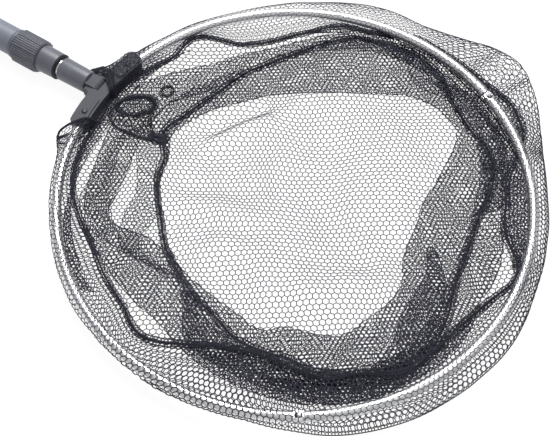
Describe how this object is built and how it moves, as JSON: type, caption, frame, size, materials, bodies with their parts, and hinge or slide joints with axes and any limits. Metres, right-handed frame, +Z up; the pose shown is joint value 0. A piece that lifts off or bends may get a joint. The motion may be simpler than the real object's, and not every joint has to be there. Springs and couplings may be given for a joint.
{
  "type": "round hand net",
  "caption": "Round hand net: a soft mesh bag sleeved on a riveted bar hoop, held by a folding yoke on a telescopic twist-lock pole, for skimming and lifting.",
  "frame": {"origin": "centre of the rear end cap's flat face, on the pole's axis", "axes": "+X along the pole towards the net, +Z up from the ground that the net lies on, +Y to the left"},
  "size_m": [0.9553, 0.4343, 0.033],
  "materials": {
    "pole_paint": "satin grey paint on drawn tube",
    "lock_plastic": "satin moulded plastic",
    "black_rubber": "matt rubber",
    "grip_foam": "closed-cell foam",
    "bright_tube": "polished",
    "yoke_plastic": "satin moulded plastic",
    "rivet_metal": "plain",
    "hoop_bar": "bright drawn bar",
    "netting": "knotless polyester mesh",
    "net_seam": "rolled and stitched mesh"
  },
  "bodies": {
    "pole": {"outer_tube": "pole_paint", "rear_end_cap": "black_rubber", "grip_sleeve": "grip_foam", "lock_sleeve": "lock_plastic", "clamp_collet": "lock_plastic", "mouth_seal": "black_rubber"},
    "collar": {"twist_collar": "lock_plastic"},
    "slider": {"inner_tube": "bright_tube", "guide_bush": "lock_plastic", "socket_shank": "lock_plastic", "shank_rivet": "rivet_metal"},
    "head": {"yoke_top_shell": "yoke_plastic", "yoke_bottom_shell": "yoke_plastic", "hinge_pin": "rivet_metal", "hoop_end_rivet_left": "rivet_metal", "hoop_end_rivet_right": "rivet_metal", "yoke_screw_left": "rivet_metal", "yoke_screw_right": "rivet_metal", "hoop_left_bar": "hoop_bar", "hoop_far_bar": "hoop_bar", "hoop_right_bar": "hoop_bar", "splice_rivet_left": "rivet_metal", "splice_rivet_right": "rivet_metal", "net_sleeve": "netting", "hem_cord": "net_seam", "net_wall": "netting", "bottom_seam": "net_seam", "net_bottom": "netting"}
  },
  "joints": [
    {"name": "pole_slide", "type": "slide", "parent": "pole", "child": "slider", "axis": [1, 0, 0], "range_m": [0, 0.3]},
    {"name": "lock_twist", "type": "hinge", "parent": "pole", "child": "collar", "pos_m": [0.453, 0, 0], "axis": [1, 0, 0], "range_deg": [0, 90]},
    {"name": "head_fold", "type": "hinge", "parent": "slider", "child": "head", "pos_m": [0.5275, 0, 0], "axis": [0, -1, 0], "range_deg": [0, 90]}
  ]
}
